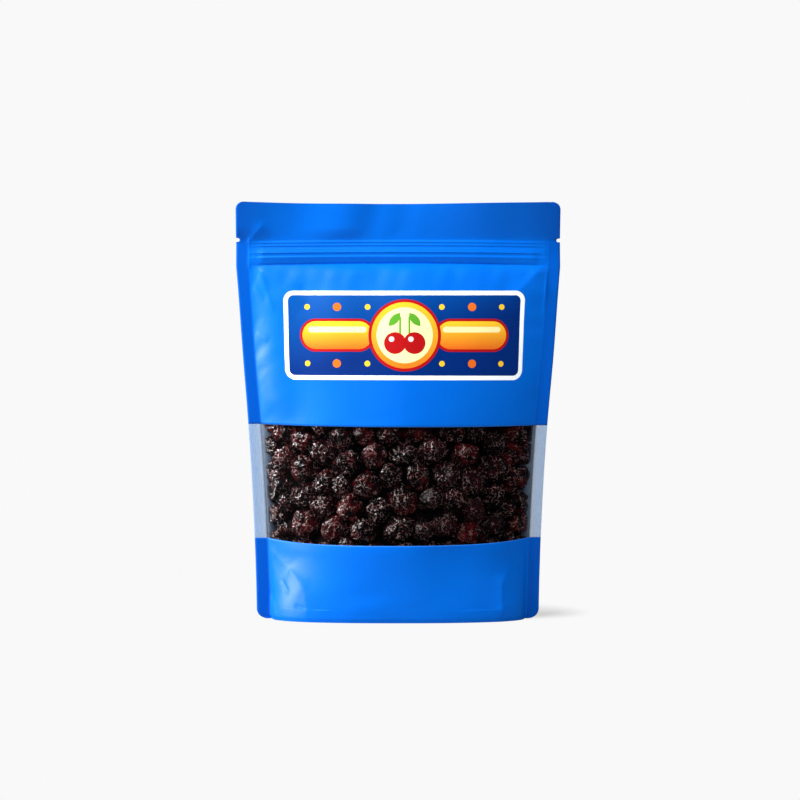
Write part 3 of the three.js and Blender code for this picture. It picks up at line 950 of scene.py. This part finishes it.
def skin_group():
    """Skin of a dried fruit: rounded ridges between small cells and between larger ones. Puts out its
    height, the narrow crests of its ridges, broken up by two noises, which are painted pale as wear and as
    glints, and a slow noise for the colour."""
    tree, n, given = new_group("Wrinkled skin", ("Place",), (), ("Height", "Worn glint", "Patch"))
    place = given["Place"]
    bend = n.add("ShaderNodeTexNoise", {"Vector": place, "Scale": 500.0, "Detail": 1.0}).outputs["Color"]
    bent = n.vector("ADD", place, n.vector("MULTIPLY", bend, (0.0008,) * 3))
    cells = [n.add("ShaderNodeTexVoronoi", {"Vector": bent, "Scale": scale}, feature="DISTANCE_TO_EDGE")
             for scale in (600.0, 240.0)]
    small, large = (cell.outputs[0] for cell in cells)
    ridge = n.between(small, 0.0, 0.25, 1.0, 0.0, "SMOOTHSTEP")
    large_ridge = n.between(large, 0.0, 0.16, 1.0, 0.0, "SMOOTHSTEP")
    breaks = n.between(n.noise(place, 300.0, 3.0, 0.6), 0.43, 0.59)
    dashes = n.between(n.noise(place, 900.0, 1.0), 0.44, 0.53)
    height = n.plus(n.times(ridge, n.plus(n.times(breaks, 1.2), 0.05)), large_ridge)
    height = n.times(height, n.plus(n.times(dashes, 0.6), 0.5))
    worn_glint = n.times(n.between(small, 0.05, 0.12, 1.0, 0.0), n.times(breaks, dashes))
    n.add("NodeGroupOutput", {"Height": height, "Worn glint": worn_glint, "Patch": n.noise(place, 260.0, 2.0, 0.55)})
    return tree


# Spacing of the film's mesh, across and up
COLUMN_STEP = 0.9
UPPER_STEP = 0.95
LOWER_STEP = 0.7
BAND_STEP = 1.2
CLEAR_ALPHA = 0.02
MILKY_ALPHA = 0.28


def make_film():
    """The front and back film above and below the clear band, the gusset, and the band's clear film with the
    milky seals beside it."""
    texture = film_texture_group()
    front = film_material("printed film, front", texture, True)
    back = film_material("printed film, back", texture, False)
    columns = film_columns(COLUMN_STEP)
    upper = film_rows(BAND_HEAD, HEIGHT, UPPER_STEP)
    lower = film_rows(0, BAND_FOOT, LOWER_STEP)
    for side, name, material in ((-1, "front", front), (1, "back", back)):
        film_piece(name + "_film_upper", columns, upper, side, material)
        film_piece(name + "_film_lower", columns, lower, side, material)
    gusset_piece(back)
    clear = clear_material("clear film", CLEAR, CLEAR_ALPHA, texture, FILM_HALF - HAZE_WIDTH, HAZE_DEEP)
    haze_from = FILM_HALF + SEAL_HAZE
    milky = clear_material("sealed clear film", MILKY, MILKY_ALPHA, texture, haze_from, HAZE_PALE, True)
    band = film_rows(BAND_FOOT, BAND_HEAD, BAND_STEP)
    window = columns[np.abs(columns) <= FILM_HALF + HAIR]
    for side, name in ((-1, "front"), (1, "back")):
        film_piece(name + "_clear_film", window, band, side, clear)
        film_piece(name + "_seal_left", columns[: SEAL_COLUMNS + 1], band, side, milky)
        film_piece(name + "_seal_right", columns[-SEAL_COLUMNS - 1 :], band, side, milky)


# Kinds of cherry: name, stretch along three axes, depth of wrinkles, darkest and reddest colour
KINDS = (
    ("cherries_plump", (1.02, 0.96, 0.92), 0.7, (3, 1, 2), (54, 6, 8)),
    ("cherries_shrunken", (1.04, 0.9, 0.82), 1.1, (3, 2, 3), (36, 6, 9)),
    ("cherries_long", (1.16, 0.88, 0.82), 0.85, (4, 1, 2), (60, 6, 8)),
    ("cherries_dark", (1.04, 0.93, 0.86), 0.95, (2, 1, 2), (34, 5, 8)),
)
CHERRY_GRID = (48, 64)
CHERRY_FINISH = (0.27, 0.28)  # how pale the crests are, with worn colour and painted glints, and its shine
INNER_GRID = (20, 26)
INNER_STRETCH = (1, 0.95, 0.9)
# the cherries further in are darker, with fewer pale crests: painted shade for their place deep in the heap
INNER_SHADED_COLOURS = ((2, 1, 1), (14, 3, 4))
INNER_FINISH = (0.06, 0.08)


def with_edge_cherries(centres, radii):
    """Adds a column of small cherries beside each seal, in the middle of the pouch's depth, and leaves out
    the others that are too near to them."""
    up = np.arange(BAND_FOOT - 1, BAND_HEAD + 4, EDGE_STEP)
    number = np.arange(2 * len(up))
    edge_radii = EDGE_RADIUS + EDGE_SPREAD * ((number * SHAPE_STEPS[1]) % 1)
    z = np.concatenate([up, up - EDGE_STEP / 3]) + EDGE_SHIFT * ((number * SHAPE_STEPS[2]) % 1)
    side = np.sign(number - len(up) + 0.5)
    edge = np.stack([side * (half_width(z) - SEAL - EDGE_INSIDE * edge_radii), 0 * z, z], -1)
    apart = np.linalg.norm(centres[:, None] - edge, axis=-1)
    kept = (apart > EDGE_CLEAR * (radii[:, None] + edge_radii)).all(1)
    return np.concatenate([centres[kept], edge]), np.concatenate([radii[kept], edge_radii])


def with_gaps_filled(centres, radii):
    """Adds small cherries just inside the front, one at a time, where the others leave the widest gap, until
    the gaps that are left are narrow."""
    widest = FILM_HALF - GAP_FROM_SEAL
    x, z = np.meshgrid(np.arange(-widest, widest, GAP_STEP), np.arange(BAND_FOOT, BAND_HEAD, GAP_STEP))
    spots = np.stack([x.ravel(), 0 * x.ravel(), z.ravel()], -1)
    half, depth, radius = film_arc(spots[:, 2])
    spots[:, 1] = radius - depth - np.sqrt((radius - GAP_RADIUS - GAP_INSIDE) ** 2 - spots[:, 0] ** 2)
    spots = spots[np.abs(spots[:, 0]) < half - GAP_RADIUS]
    while True:
        room = (np.linalg.norm(spots[:, None] - centres, axis=-1) - radii).min(1)
        if room.max() < GAP_LEFT:
            return centres, radii
        centres = np.concatenate([centres, spots[[room.argmax()]]])
        radii = np.append(radii, GAP_RADIUS)


def make_cherries():
    """The cherries that show, in four kinds by turns, plainer and darker ones further in as painted shade,
    and the core, painted dark as shade.
    """
    skin = skin_group()
    centres, radii = with_gaps_filled(*with_edge_cherries(*settled_cherries()))
    near = np.minimum(inside_film(centres, -1), inside_film(centres, 1)) - radii
    in_band = (centres[:, 2] > BAND_FOOT - FOOT_SAG - radii) & (centres[:, 2] < BAND_HEAD + radii)
    showing = np.flatnonzero((near < SHOWING) & in_band)
    for i, (name, stretch, wrinkle, dark, red) in enumerate(KINDS):
        material = fruit_material(name.replace("_", ", "), srgb(*dark), srgb(*red), *CHERRY_FINISH, skin)
        own = showing[i :: len(KINDS)]
        cherry_piece(name, centres[own], radii[own], CHERRY_GRID, stretch, wrinkle, 100 + 20 * i, material)
    inner = np.flatnonzero((near >= SHOWING) & (near < DEEPEST) & in_band)
    dark, red = INNER_SHADED_COLOURS
    deep = fruit_material("cherries, inner, in painted shade", srgb(*dark), srgb(*red), *INNER_FINISH, skin)
    cherry_piece("cherries_inner_shaded", centres[inner], radii[inner], INNER_GRID, INNER_STRETCH, 1.0, 300, deep)
    heap_core(core_material())


# Camera: in front of the middle, level, so that the object's plane fills the picture's width
PICTURE_WIDTH = 368.0
CAMERA_DISTANCE = 1300.0
CAMERA_PLACE = (0.8, 100.4)
CAMERA_RANGE = (0.05, 50)  # nearest and farthest that it sees, in metres
BACKDROP = srgb(249, 249, 249)

# Floor, in metres: its half side, and the shadow's middle and shape
FLOOR_SIDE = 20.0
SHADOW_PLACE = (0.06, 0.045, 0)
SHADOW_SHAPE = (1.8, 1.0, 1.0)
FLOOR_SEEN = (0.64, 0.64, 0.64)
FLOOR_AROUND = (0.3, 0.3, 0.3)  # as it lights the object
FLOOR_MIRRORED = (0.03, 0.03, 0.03)

# Lights, in metres: name, place, width, height, watts, and whether reflections show it
LIGHTS = (
    ("key", (-0.9, -0.06, 0.25), 0.4, 0.18, 15.4, True),
    ("upper", (-0.35, -0.2, 0.6), 0.3, 0.15, 7.0, True),
    ("fill", (0.9, -0.7, 0.8), 0.8, 0.8, 9.0, False),
    ("front", (-0.25, -1.2, 0.55), 0.4, 0.4, 5.8, False),
)
LIGHTS_AIM = (0, 0, 0.1)
SURROUND = 0.07  # strength of the surround, which the camera sees at full strength


def make_camera():
    """A level camera whose picture is PICTURE_WIDTH wide at the object."""
    data = bpy.data.cameras.new("camera")
    data.lens = data.sensor_width * CAMERA_DISTANCE / PICTURE_WIDTH
    data.clip_start, data.clip_end = CAMERA_RANGE
    camera = bpy.data.objects.new("camera", data)
    camera.location = (CAMERA_PLACE[0] * MM, -CAMERA_DISTANCE * MM, CAMERA_PLACE[1] * MM)
    camera.rotation_euler = (math.pi / 2, 0, 0)
    bpy.context.scene.collection.objects.link(camera)
    bpy.context.scene.camera = camera


def make_floor():
    """A plain pale floor, which takes shadows round the object and turns into the even backdrop further
    out."""
    corners = ((-1, -1, 0), (1, -1, 0), (1, 1, 0), (-1, 1, 0))
    material, n, shader = new_material("floor")
    away = n.vector("MULTIPLY", n.vector("SUBTRACT", n.place(), SHADOW_PLACE), SHADOW_SHAPE)
    distance = n.add("ShaderNodeVectorMath", {0: away}, operation="LENGTH").outputs["Value"]
    glow = n.between(distance, 0.02, 0.062, 0.55, 1.0, "SMOOTHSTEP")
    path = n.add("ShaderNodeLightPath").outputs
    seen = path["Is Camera Ray"]
    colour = n.mix(seen, n.mix(path["Is Glossy Ray"], FLOOR_AROUND, FLOOR_MIRRORED), FLOOR_SEEN)
    n.feed(shader, {"Base Color": colour, "Roughness": 0.9, "Specular IOR Level": 0.1})
    light = n.add("ShaderNodeEmission", {"Color": (*BACKDROP, 1)})
    both = n.add("ShaderNodeMixShader", {0: n.times(glow, seen), 1: shader.outputs[0], 2: light.outputs[0]})
    n.feed(n.tree.nodes["Material Output"], {"Surface": both.outputs[0]})
    floor = new_piece("floor", np.array(corners) * FLOOR_SIDE / MM, np.array([[0, 1, 2, 3]]), material)


def make_light():
    """Rectangular lights aimed at the pouch's middle: a key from the left, another from the upper left, and
    fills from the right and the front. The pale surround shows as the backdrop."""
    for name, place, width, height, watts, mirrored in LIGHTS:
        data = bpy.data.lights.new(name, "AREA")
        data.shape = "RECTANGLE"
        data.size, data.size_y, data.energy = width, height, watts
        light = bpy.data.objects.new(name, data)
        light.location = place
        light.rotation_euler = (Vector(LIGHTS_AIM) - Vector(place)).to_track_quat("-Z", "Y").to_euler()
        light.visible_glossy = mirrored
        bpy.context.scene.collection.objects.link(light)
    world = bpy.data.worlds.new("surround")
    world.use_nodes = True
    n = Nodes(world.node_tree)
    seen = n.add("ShaderNodeLightPath").outputs["Is Camera Ray"]
    strength = n.between(seen, 0.0, 1.0, SURROUND, 1.0)
    n.feed(world.node_tree.nodes["Background"], {"Color": (*BACKDROP, 1), "Strength": strength})
    bpy.context.scene.world = world
    bpy.context.scene.view_settings.view_transform = "Standard"


make_camera()
make_light()
make_floor()
make_film()
make_cherries()
